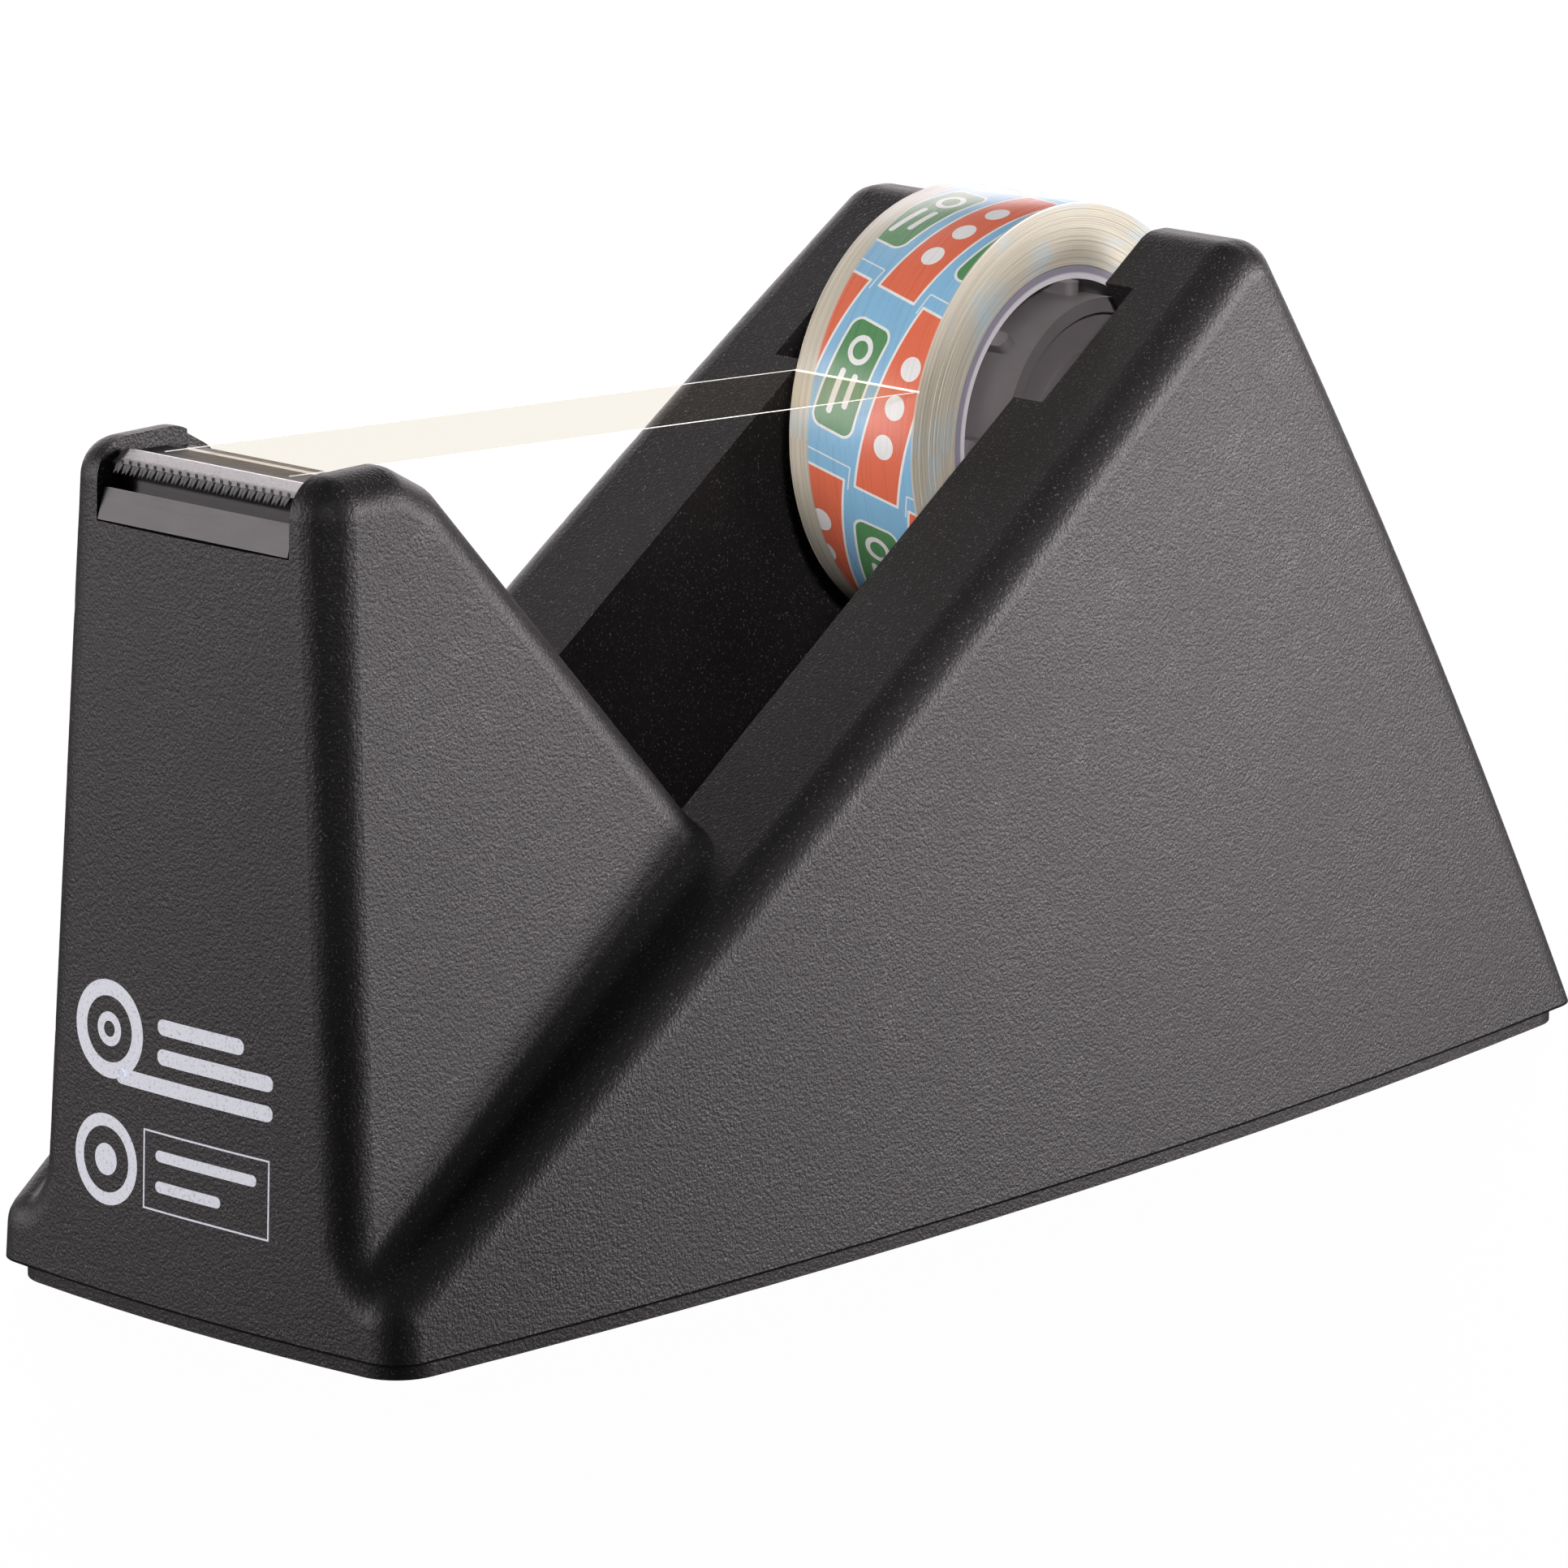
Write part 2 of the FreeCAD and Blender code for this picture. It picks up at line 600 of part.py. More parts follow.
def make_front_weight():
    front = -LENGTH / 2 + FRONT_WEIGHT_SETBACK
    return weight(front, front + FRONT_WEIGHT_DEPTH, FRONT_WEIGHT_WIDTH, FRONT_WEIGHT_TOP)


def build_parts():
    hub_bore = CORE_RADIUS - CORE_WALL
    return {
        "housing": make_housing(),
        "base_plate": make_plate(),
        "anti_slip_pad": plan_slab(PAD_INSET, 0, PAD_THICK),
        "base_screws": make_screws(),
        "rear_weight": make_rear_weight(),
        "front_weight": make_front_weight(),
        "blade_holder": make_holder(),
        "cutter_blade": make_blade(),
        "hub_drum": make_drum(),
        "hub_cap_near": make_cap(-1),
        "hub_cap_far": make_cap(1),
        "tape_core": ring(CORE_RADIUS, hub_bore),
        "tape_roll": ring(ROLL_RADIUS, CORE_RADIUS + WINDING_FIT),
        "tape_leader": make_leader(),
    }


def main():
    os.makedirs("parts", exist_ok=True)
    for name, shape in build_parts().items():
        size = shape.BoundBox
        print(f"{name:14s} solids {len(shape.Solids)} valid {shape.isValid()}"
              f" volume {shape.Volume:9.1f} x {size.XMin:.1f}..{size.XMax:.1f}"
              f" y {size.YMin:.1f}..{size.YMax:.1f} z {size.ZMin:.1f}..{size.ZMax:.1f}")
        shape.exportStep(f"parts/{name}.step")


if __name__ == "__main__":
    main()
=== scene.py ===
import math
import random

import bmesh
import bpy
from bpy.props import FloatProperty, FloatVectorProperty, IntProperty, PointerProperty
from bpy.types import Operator, Panel, PropertyGroup
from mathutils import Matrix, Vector
from mathutils.bvhtree import BVHTree


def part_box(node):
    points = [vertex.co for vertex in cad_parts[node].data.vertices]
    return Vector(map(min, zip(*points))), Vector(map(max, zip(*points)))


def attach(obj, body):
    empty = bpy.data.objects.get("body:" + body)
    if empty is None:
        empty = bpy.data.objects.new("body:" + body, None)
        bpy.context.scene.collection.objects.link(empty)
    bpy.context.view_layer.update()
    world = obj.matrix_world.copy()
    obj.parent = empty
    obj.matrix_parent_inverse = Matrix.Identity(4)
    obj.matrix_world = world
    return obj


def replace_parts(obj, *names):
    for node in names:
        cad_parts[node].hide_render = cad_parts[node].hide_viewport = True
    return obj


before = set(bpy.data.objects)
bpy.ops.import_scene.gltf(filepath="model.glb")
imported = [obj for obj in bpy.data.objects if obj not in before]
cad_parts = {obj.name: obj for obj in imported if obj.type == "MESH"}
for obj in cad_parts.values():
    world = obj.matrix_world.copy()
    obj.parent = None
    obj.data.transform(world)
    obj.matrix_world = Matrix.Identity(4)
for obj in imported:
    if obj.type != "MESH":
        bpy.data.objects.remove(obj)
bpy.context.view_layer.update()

bl_info = {
    "name": "Desktop Tape Dispenser",
    "version": (1, 0, 0),
    "blender": (4, 5, 0),
    "location": "3D View > Sidebar > Dispenser",
    "description": "Finishes and fine pieces for a weighted desktop tape dispenser",
    "category": "Object",
}

MM = 0.001
SEED = 11

# Places that come from the frame
ROLL_LOW, ROLL_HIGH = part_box("tape_roll")
AXIS_X = (ROLL_LOW.x + ROLL_HIGH.x) / 2
AXIS_Z = (ROLL_LOW.z + ROLL_HIGH.z) / 2
ROLL_RADIUS = (ROLL_HIGH.z - ROLL_LOW.z) / 2
TAPE_HALF = ROLL_HIGH.y
CORE_RADIUS = (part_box("tape_core")[1].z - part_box("tape_core")[0].z) / 2
BLADE_LOW, BLADE_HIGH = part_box("cutter_blade")
LEADER_LOW, LEADER_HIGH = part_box("tape_leader")
HOUSING_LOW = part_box("housing")[0]
SEAM_Z = 1.9 * MM
SEAT_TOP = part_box("blade_holder")[1].z
# Fall of the teeth below the level
TOOTH_FALL = math.radians(52)
# Middle of one badge, along and across its lane in millimetres
PRINT_START = (56.45, -13.34)
# Half length, half width and corner of the printed shapes, in millimetres
BADGE = (5.45, 2.65, 1.3)
PANEL = (9.1, 2.7, 0.15)
BRACKET = (9.9, 3.0, 0.1)
LONG_BAR = (2.2, 0.33, 0.3)
SHORT_BAR = (1.7, 0.33, 0.3)
MARK_RADIUS = 1.15
OUTLINE = 0.27
# Rings printed on the tower: middle across and up, outer and inner radius
ROLL_RINGS = ((9.3, 25.2, 4.3, 2.9), (9.3, 25.2, 1.5, 0.7))
LOWER_RINGS = ((9.6, 13.7, 4.0, 2.9), (9.6, 13.7, 1.4, 0.0001))
# Bars printed on the tower: from, to, height and half width
STRAND_BARS = ((-10.6, 8.4, 21.4, 0.7), (-10.6, 3.2, 24.0, 0.7), (-7.2, 3.2, 26.6, 0.7))
FRAMED_BARS = ((-8.8, 3.3, 15.3, 0.5), (-4.6, 3.3, 12.6, 0.5))
# Frame round the lower bars: from, to, low, high and width of its line
BAR_FRAME = (-10.3, 4.8, 10.4, 17.4, 0.16)
LAMP_COLOUR = (1.0, 0.93, 0.955)
HORIZON_GREY = (0.07, 0.07, 0.07)
OVERHEAD_GREY = (0.14, 0.14, 0.14)


# ---- sizes and colours -----------------------------------------------------
def colour(name, description, default):
    return FloatVectorProperty(name=name, description=description, default=default,
                               subtype="COLOR", size=3, min=0.0, max=1.0)


def length(name, description, default):
    return FloatProperty(name=name, description=description, default=default,
                         unit="LENGTH", subtype="DISTANCE", precision=5)


class HousingSettings(PropertyGroup):
    plastic: colour("Plastic", "Charcoal of the grained mouldings", (0.012, 0.0112, 0.0115))
    grain: length("Grain", "Distance between two bumps of the moulded grain", 0.33 * MM)
    grain_depth: length("Grain depth", "Height of the moulded grain", 0.058 * MM)
    seam: length("Seam", "Width of the shadow line above the base plate", 0.4 * MM)
    ink: colour("Ink", "Pale silver of the printed symbols", (0.86, 0.89, 0.97))
    ink_thickness: length("Ink thickness", "How far the print stands proud", 0.03 * MM)


class BaseSettings(PropertyGroup):
    foam: colour("Foam", "Anti-slip pad under the base", (0.012, 0.012, 0.013))
    iron: colour("Iron", "Cast weights inside the housing", (0.09, 0.088, 0.09))
    zinc: colour("Zinc", "Plated base screws", (0.56, 0.57, 0.6))


class CutterSettings(PropertyGroup):
    steel: colour("Steel", "Stamped steel of the cutter", (0.70, 0.69, 0.70))
    thickness: length("Thickness", "Thickness of the steel strip", 0.4 * MM)
    bend: length("Bend", "Radius of the strip's rear bend", 0.35 * MM)
    strip: length("Strip", "Length of the sloping strip", 1.9 * MM)
    slope: FloatProperty(name="Slope", description="Fall of the sloping strip",
                         default=math.radians(27), subtype="ANGLE")
    pitch: length("Pitch", "Distance from one tooth to the next", 1.0 * MM)
    tooth: length("Tooth", "Length of a tooth", 1.0 * MM)
    stud: length("Stud", "Height of the pressed point behind each tooth", 0.28 * MM)
    plastic: colour("Seat", "Smooth plastic of the blade's seat", (0.018, 0.017, 0.017))


class HubSettings(PropertyGroup):
    # Painted sheen: the hub is black plastic, and this mid-grey stands in for what its satin surface
    # reflects.
    plastic: colour("Plastic", "Satin charcoal of the hub", (0.17, 0.16, 0.163))
    core: colour("Core", "White core ring of the tape", (0.86, 0.86, 0.88))
    core_edge: colour("Core edge", "Greyer outer part of the ring", (0.34, 0.33, 0.40))
    edge: length("Edge", "Softened edges of the hub", 0.12 * MM)


class TapeSettings(PropertyGroup):
    ground: colour("Ground", "Blue ground of the print", (0.19, 0.46, 0.68))
    panel: colour("Panel", "Orange panels of the print", (0.78, 0.13, 0.05))
    badge: colour("Badge", "Green badges of the print", (0.045, 0.25, 0.075))
    line: colour("Line", "Pale outlines and marks of the print", (0.85, 0.88, 0.86))
    film: colour("Film", "Cream of many layers of film seen edge on", (0.67, 0.64, 0.51))
    film_dark: colour("Gaps", "Between the layers", (0.53, 0.495, 0.39))
    layers: IntProperty(name="Layers", description="Bundles of film that show on the sides",
                        default=26, min=4, max=80)
    wobble: length("Wobble", "How far bundles stand out of the side faces", 0.06 * MM)
    lanes: IntProperty(name="Lanes", description="Lanes of the print that one turn crosses",
                       default=5, min=1, max=15)
    lane: length("Lane", "Distance from one slanted lane of the print to the next", 6.43 * MM)
    tint: colour("Tint", "What one face of the film lets through", (0.963, 0.946, 0.905))
    strand: length("Strand", "Thickness of the free film", 0.06 * MM)
    edge_line: length("Edge line", "Bright cut edges of the free film", 0.09 * MM)


class StudioSettings(PropertyGroup):
    floor: colour("Floor", "Pale studio floor", (1.0, 1.0, 1.0))
    floor_size: length("Floor size", "Side of the square floor", 9.0)
    glow: FloatProperty(name="Glow", description="Light that the floor gives by itself",
                        default=0.985, min=0.0, max=2.0)
    camera: FloatVectorProperty(name="Camera", description="Place of the camera",
                                default=(-0.59226, -0.53990, 0.23195),
                                subtype="TRANSLATION", unit="LENGTH", precision=5)
    pitch: FloatProperty(name="Pitch", description="How far the camera looks down",
                         default=math.radians(13.896), subtype="ANGLE")
    heading: FloatProperty(name="Heading", description="Turn of the camera about the vertical",
                           default=math.radians(-47.401), subtype="ANGLE")
    lens: FloatProperty(name="Lens", description="Focal length on a 36 mm sensor",
                        default=209.6, unit="CAMERA")


# ---- shader nodes ----------------------------------------------------------
class Reading:
    """A number that changes over a surface; sums written with it add Math nodes."""

    def __init__(self, tree, socket):
        self.tree = tree
        self.socket = socket

    def math(self, operation, *values):
        node = self.tree.add("ShaderNodeMath", {"operation": operation}, dict(enumerate(values)))
        return Reading(self.tree, node.outputs[0])

    def __add__(self, other):
        return self.math("ADD", self, other)

    def __radd__(self, other):
        return self.math("ADD", other, self)

    def __sub__(self, other):
        return self.math("SUBTRACT", self, other)

    def __rsub__(self, other):
        return self.math("SUBTRACT", other, self)

    def __mul__(self, other):
        return self.math("MULTIPLY", self, other)

    def __rmul__(self, other):
        return self.math("MULTIPLY", other, self)

    def __truediv__(self, other):
        return self.math("DIVIDE", self, other)

    def __rtruediv__(self, other):
        return self.math("DIVIDE", other, self)

    def __lt__(self, other):
        return self.math("LESS_THAN", self, other)

    def __gt__(self, other):
        return self.math("GREATER_THAN", self, other)

    def __abs__(self):
        return self.math("ABSOLUTE", self)

    def root(self):
        return self.math("SQRT", self)

    def most(self, other):
        return self.math("MAXIMUM", self, other)

    def least(self, other):
        return self.math("MINIMUM", self, other)

    def floor(self):
        return self.math("FLOOR", self)

    def wrapped(self, half):
        """Folded back into the span from -half to half."""
        return self.math("WRAP", self, half, -half)


class Tree:
    """The nodes of one material or of the world."""

    def __init__(self, owner):
        owner.use_nodes = True
        self.tree = owner.node_tree
        self.tree.nodes.clear()

    def add(self, kind, settings, sockets):
        """One node: its settings first, then the values or links of its sockets."""
        node = self.tree.nodes.new(kind)
        for name, value in settings.items():
            setattr(node, name, value)
        for name, value in sockets.items():
            self.feed(node.inputs[name], value)
        return node

    def feed(self, socket, value):
        value = value.socket if isinstance(value, Reading) else value
        if isinstance(value, bpy.types.NodeSocket):
            self.tree.links.new(value, socket)
        elif socket.type == "RGBA":
            socket.default_value = (*value[:3], 1.0)
        else:
            socket.default_value = value

    def place(self):
        return self.add("ShaderNodeTexCoord", {}, {}).outputs["Object"]

    def axes(self, vector):
        """X, Y and Z of a vector as three readings."""
        node = self.add("ShaderNodeSeparateXYZ", {}, {"Vector": vector})
        return [Reading(self, socket) for socket in node.outputs]

    def vector(self, x, y, z):
        return self.add("ShaderNodeCombineXYZ", {}, {"X": x, "Y": y, "Z": z}).outputs[0]

    def stretched(self, vector, scale):
        settings = {"operation": "MULTIPLY"}
        return self.add("ShaderNodeVectorMath", settings, {0: vector, 1: scale}).outputs[0]

    def noise(self, vector, size, detail=2.0, roughness=0.5):
        """Soft noise whose patches are about size across."""
        sockets = {"Vector": vector, "Scale": 1 / size, "Detail": detail, "Roughness": roughness}
        return Reading(self, self.add("ShaderNodeTexNoise", {}, sockets).outputs[0])

    def cells(self, vector, size):
        """Distance from the middle of the nearest of many round cells."""
        sockets = {"Vector": vector, "Scale": 1 / size, "Smoothness": 0.6}
        node = self.add("ShaderNodeTexVoronoi", {"feature": "SMOOTH_F1"}, sockets)
        return Reading(self, node.outputs["Distance"])

    def between(self, value, low, high, to_low=0.0, to_high=1.0):
        """A reading spread from low..high to another span, and held at its ends."""
        sockets = {"Value": value, "From Min": low, "From Max": high,
                   "To Min": to_low, "To Max": to_high}
        return Reading(self, self.add("ShaderNodeMapRange", {}, sockets).outputs[0])

    def blend(self, share, first, second):
        """A colour between two colours."""
        sockets = {0: share, 6: first, 7: second}
        return self.add("ShaderNodeMix", {"data_type": "RGBA"}, sockets).outputs[2]

    def bump(self, height, depth, under=None):
        """Relief of a height from 0 to 1 that is depth deep."""
        sockets = {"Height": height, "Strength": 1.0, "Distance": depth}
        if under is not None:
            sockets["Normal"] = under
        return self.add("ShaderNodeBump", {}, sockets).outputs[0]


class Finish(Tree):
    """One material: a principled shader and what feeds it."""

    def __init__(self, name, **constants):
        self.material = bpy.data.materials.new(name)
        super().__init__(self.material)
        sockets = {key.replace("_", " "): value for key, value in constants.items()}
        self.shader = self.add("ShaderNodeBsdfPrincipled", {}, sockets)
        surface = {"Surface": self.shader.outputs[0]}
        self.output = self.add("ShaderNodeOutputMaterial", {}, surface)

    def set(self, name, value):
        self.feed(self.shader.inputs[name], value)


def tone(base, factor):
    """A lighter or darker tone of a colour."""
    return tuple(min(1.0, part * factor) for part in base)


# ---- meshes ----------------------------------------------------------------
def piece_from(mesh_tool, name, body, finishes, sharp=35):
    """Turns a bmesh into a piece that rides on a body."""
    bmesh.ops.recalc_face_normals(mesh_tool, faces=mesh_tool.faces)
    mesh = bpy.data.meshes.new(name)
    mesh_tool.to_mesh(mesh)
    mesh_tool.free()
    mesh.shade_smooth()
    mesh.set_sharp_from_angle(angle=math.radians(sharp))
    for finish in finishes:
        mesh.materials.append(finish.material)
    piece = bpy.data.objects.new(name, mesh)
    bpy.context.scene.collection.objects.link(piece)
    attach(piece, body)
    return piece


def paint(node, finish):
    """Gives a CAD node its finish, in every slot that it has."""
    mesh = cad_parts[node].data
    if not mesh.materials:
        mesh.materials.append(finish.material)
    for index in range(len(mesh.materials)):
        mesh.materials[index] = finish.material


def skin(mesh_tool, rings, closed_path):
    """Quads between neighbouring rings of vertices, with caps on an open path."""
    count = len(rings)
    size = len(rings[0])
    for i in range(count if closed_path else count - 1):
        here = rings[i]
        there = rings[(i + 1) % count]
        for j in range(size):
            k = (j + 1) % size
            mesh_tool.faces.new((here[j], here[k], there[k], there[j]))
    if not closed_path:
        mesh_tool.faces.new(rings[0])
        mesh_tool.faces.new(rings[-1])


def add_ring(mesh_tool, points):
    return [mesh_tool.verts.new(point) for point in points]


def lathe(profile, steps):
    """A closed profile of (radius, y) turned about the roll's axis."""
    mesh_tool = bmesh.new()
    rings = []
    for i in range(steps):
        angle = 2 * math.pi * i / steps
        cos, sin = math.cos(angle), math.sin(angle)
        rings.append(add_ring(mesh_tool, [(AXIS_X + r * cos, y, AXIS_Z + r * sin)
                                          for r, y in profile]))
    skin(mesh_tool, rings, closed_path=True)
    return mesh_tool


def along(angle):
    """Unit vector in the XZ plane, angle up from +X."""
    return Vector((math.cos(angle), 0, math.sin(angle)))


# ---- housing ---------------------------------------------------------------
def grained_plastic(name, settings, smooth=1.0):
    """Moulded charcoal with a fine leathery grain, smudges, rubbed spots and pale specks painted in as
    glints off the grain.
    """
    finish = Finish(name, Specular_IOR_Level=0.5)
    place = finish.place()
    cells = finish.cells(place, settings.grain)
    pebbles = finish.noise(place, settings.grain * 0.6, 3.0)
    dust = finish.noise(place, 0.16 * MM, 1.0)
    glint_specks = finish.between(finish.noise(place, 0.22 * MM, 1.0, 0.7), 0.65, 0.70)
    smudge = finish.noise(place, 22 * MM, 3.0, 0.6)
    rubbed = finish.between(finish.noise(place, 3 * MM, 4.0), 0.58, 0.74)
    grain = (1 - cells) * 0.55 + pebbles * 0.75
    shade = finish.between(pebbles + smudge, 0.7, 1.3)
    charcoal = finish.blend(shade, tone(settings.plastic, 0.75), tone(settings.plastic, 1.35))
    # Painted highlight: pale specks in the base colour stand in for glints off the grain.
    finish.set("Base Color", finish.blend(glint_specks, charcoal, tone(settings.plastic, 12)))
    finish.set("Roughness", 0.37 + smudge * 0.1 + dust * 0.08 - rubbed * 0.05)
    seam = finish.between(abs(finish.axes(place)[2] - SEAM_Z), 0.0, settings.seam / 2)
    fine = finish.bump(dust, settings.grain_depth * 0.25)
    pebbled = finish.bump(grain, settings.grain_depth * smooth, fine)
    finish.set("Normal", finish.bump(seam, settings.seam, pebbled))
    return finish


def front_surface():
    """The housing as a tree that rays can be sent at."""
    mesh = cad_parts["housing"].data
    return BVHTree.FromPolygons([v.co for v in mesh.vertices], [p.vertices[:] for p in mesh.polygons])


class Stamp:
    """Flat printed shapes that follow the bowed front of the tower."""

    def __init__(self, thickness):
        self.mesh = bmesh.new()
        self.surface = front_surface()
        self.thickness = thickness

    def spot(self, y, z, proud):
        start = Vector((HOUSING_LOW.x - 10 * MM, y * MM, z * MM))
        hit = self.surface.ray_cast(start, Vector((1, 0, 0)))[0]
        return (hit.x - proud, y * MM, z * MM)

    def section(self, a, b):
        """Four corners of the ink between two points of the print."""
        sunk = -self.thickness
        return [self.spot(*a, self.thickness), self.spot(*b, self.thickness),
                self.spot(*b, sunk), self.spot(*a, sunk)]

    def band(self, pairs, closed=False):
        """Ink between two lines, given as pairs of points."""
        rings = [add_ring(self.mesh, self.section(a, b)) for a, b in pairs]
        skin(self.mesh, rings, closed_path=closed)

    def ring(self, y, z, outer, inner, steps=48):
        pairs = []
        for i in range(steps):
            angle = 2 * math.pi * i / steps
            out = (math.cos(angle), math.sin(angle))
            pairs.append(((y + outer * out[0], z + outer * out[1]),
                          (y + inner * out[0], z + inner * out[1])))
        self.band(pairs, closed=True)

    def bar(self, y0, y1, z, half, ends=5, run=1.5):
        """A level bar with round ends."""
        steps = max(2, round(abs(y1 - y0) / run))
        pairs = []
        for i in range(1, ends + 1):
            a = math.pi / 2 * i / ends
            pairs.append((y0 + half * (1 - math.cos(a)), half * math.sin(a)))
        pairs += [(y0 + half + (y1 - y0 - 2 * half) * i / steps, half) for i in range(1, steps)]
        for i in range(ends, 0, -1):
            a = math.pi / 2 * i / ends
            pairs.append((y1 - half * (1 - math.cos(a)), half * math.sin(a)))
        self.band([((y, z - h), (y, z + h)) for y, h in pairs])

    def frame_line(self, y0, y1, z0, z1, width):
        """Outline of a rectangle, split where it follows the bowed front."""
        steps = 10
        ys = [y0 + (y1 - y0) * i / steps for i in range(steps + 1)]
        self.band([((y, z0), (y, z0 + width)) for y in ys])
        self.band([((y, z1 - width), (y, z1)) for y in ys])
        self.band([((y0, z), (y0 + width, z)) for z in (z0 + width, z1 - width)])
        self.band([((y1 - width, z), (y1, z)) for z in (z0 + width, z1 - width)])


def print_ink(settings):
    finish = Finish("silver_ink", Specular_IOR_Level=0.4)
    place = finish.place()
    worn = finish.between(finish.noise(place, 0.28 * MM, 3.0, 0.7), 0.30, 0.46)
    finish.set("Base Color", finish.blend(worn, tone(settings.ink, 0.62), settings.ink))
    finish.set("Roughness", 0.62 - worn * 0.12)
    # Painted glow: the ink emits light of its own, so the print stays bright on the dimly lit front.
    finish.set("Emission Color", finish.blend(worn, tone(settings.ink, 0.12), tone(settings.ink, 0.24)))
    finish.set("Emission Strength", 1.0)
    grain = finish.noise(place, settings.grain * 0.7)
    finish.set("Normal", finish.bump(grain, settings.grain_depth * 0.6))
    return finish


def print_symbols(settings):
    """A roll with its strand, and a ring beside a framed pair of plain bars."""
    stamp = Stamp(settings.ink_thickness)
    for rings, bars in ((ROLL_RINGS, STRAND_BARS), (LOWER_RINGS, ())):
        for ring in rings:
            stamp.ring(*ring)
        for bar in bars:
            stamp.bar(*bar)
    stamp.frame_line(*BAR_FRAME)
    for bar in FRAMED_BARS:
        stamp.bar(*bar)
    return piece_from(stamp.mesh, "printed_symbols", "root", [print_ink(settings)])


# ---- cutter ----------------------------------------------------------------
def steel(settings):
    """Bright stamped steel, drawn along the strip and nicked."""
    finish = Finish("cutter_steel", Metallic=1.0)
    place = finish.place()
    drawn = finish.noise(finish.stretched(place, (8, 0.6, 8)), 0.9 * MM, 4.0, 0.6)
    nicks = finish.between(finish.noise(place, 0.2 * MM, 3.0), 0.56, 0.72)
    edge = strip_section(settings)[0][-1].x
    ragged = finish.axes(place)[0] + (finish.noise(place, 0.5 * MM, 3.0) - 0.5) * (0.5 * MM)
    pressed = finish.between(ragged, edge + 0.5 * MM, edge + 0.75 * MM, 0.75, 0.0)
    pressed = pressed * (finish.axes(place)[0] > edge - 0.1 * MM)
    polished = finish.blend(nicks * 0.5, settings.steel, tone(settings.steel, 0.45))
    finish.set("Base Color", finish.blend(pressed, polished, tone(settings.steel, 0.45)))
    finish.set("Roughness", 0.22 + drawn * 0.16 + nicks * 0.1)
    finish.set("Normal", finish.bump(drawn, 0.012 * MM))
    return finish


def strip_section(settings):
    """Closed side view of the strip: heel, round bend and sloping front."""
    top = BLADE_HIGH
    heel = BLADE_LOW.z
    middle = Vector((top.x - settings.bend, 0, top.z - settings.bend * 0.5))
    outer = [Vector((top.x, 0, heel))]
    inner = [Vector((top.x - settings.thickness, 0, heel))]
    steps = 6
    for i in range(steps + 1):
        normal = along((math.pi / 2 + settings.slope) * i / steps)
        outer.append(middle + normal * settings.bend)
        inner.append(middle + normal * (settings.bend - settings.thickness))
    down = along(math.pi + settings.slope)
    outer.append(outer[-1] + down * settings.strip)
    inner.append(inner[-1] + down * settings.strip)
    return outer, inner


def cutter(settings):
    """Bent steel strip with pointed teeth and a pressed stud behind each."""
    mesh_tool = bmesh.new()
    outer, inner = strip_section(settings)
    section = outer + inner[::-1]
    ends = (BLADE_LOW.y, BLADE_HIGH.y)
    skin(mesh_tool, [add_ring(mesh_tool, [p + Vector((0, y, 0)) for p in section]) for y in ends],
         closed_path=False)
    edge, under = outer[-1], inner[-1]
    count = int((BLADE_HIGH.y - BLADE_LOW.y) / settings.pitch)
    for i in range(count):
        y = (i - (count - 1) / 2) * settings.pitch
        tooth(mesh_tool, settings, edge, under, y)
        stud(mesh_tool, settings, edge, y)
    return piece_from(mesh_tool, "toothed_cutter", "root", [steel(settings)], sharp=20)


def tooth(mesh_tool, settings, edge, under, y):
    """Forked tooth: two pointed legs that meet at a raised crest."""
    point = along(math.pi + TOOTH_FALL) * settings.tooth
    half = settings.pitch * 0.46
    side = Vector((0, 1, 0))
    middle = edge + side * y
    low = under + side * y
    lift = along(math.pi / 2 + settings.slope) * settings.thickness * 0.35
    for sign in (-1, 1):
        outer = mesh_tool.verts.new(middle + side * sign * half)
        bottom = mesh_tool.verts.new(low + side * sign * half * 0.8)
        centre = mesh_tool.verts.new(low + point * 0.25)
        tip = mesh_tool.verts.new(middle + point + side * sign * half * 0.52)
        crest = mesh_tool.verts.new(middle + lift * 0.9 + point * 0.12)
        mesh_tool.faces.new((crest, outer, tip))
        mesh_tool.faces.new((crest, tip, centre))
        mesh_tool.faces.new((outer, bottom, tip))
        mesh_tool.faces.new((bottom, centre, tip))
        mesh_tool.faces.new((crest, centre, bottom, outer))


def stud(mesh_tool, settings, edge, y):
    """A small four-sided point pressed up out of the strip."""
    back = -along(math.pi + settings.slope)
    side = Vector((0, 1, 0))
    up = along(math.pi / 2 + settings.slope)
    half = settings.pitch * 0.26
    middle = edge + back * half * 1.1 + side * y - up * settings.thickness * 0.2
    corners = [middle + back * half, middle + side * half, middle - back * half, middle - side * half]
    base = [mesh_tool.verts.new(corner) for corner in corners]
    tip = mesh_tool.verts.new(middle + up * (settings.stud + settings.thickness * 0.2))
    for i in range(len(base)):
        mesh_tool.faces.new((base[i], base[(i + 1) % len(base)], tip))
    mesh_tool.faces.new(base[::-1])


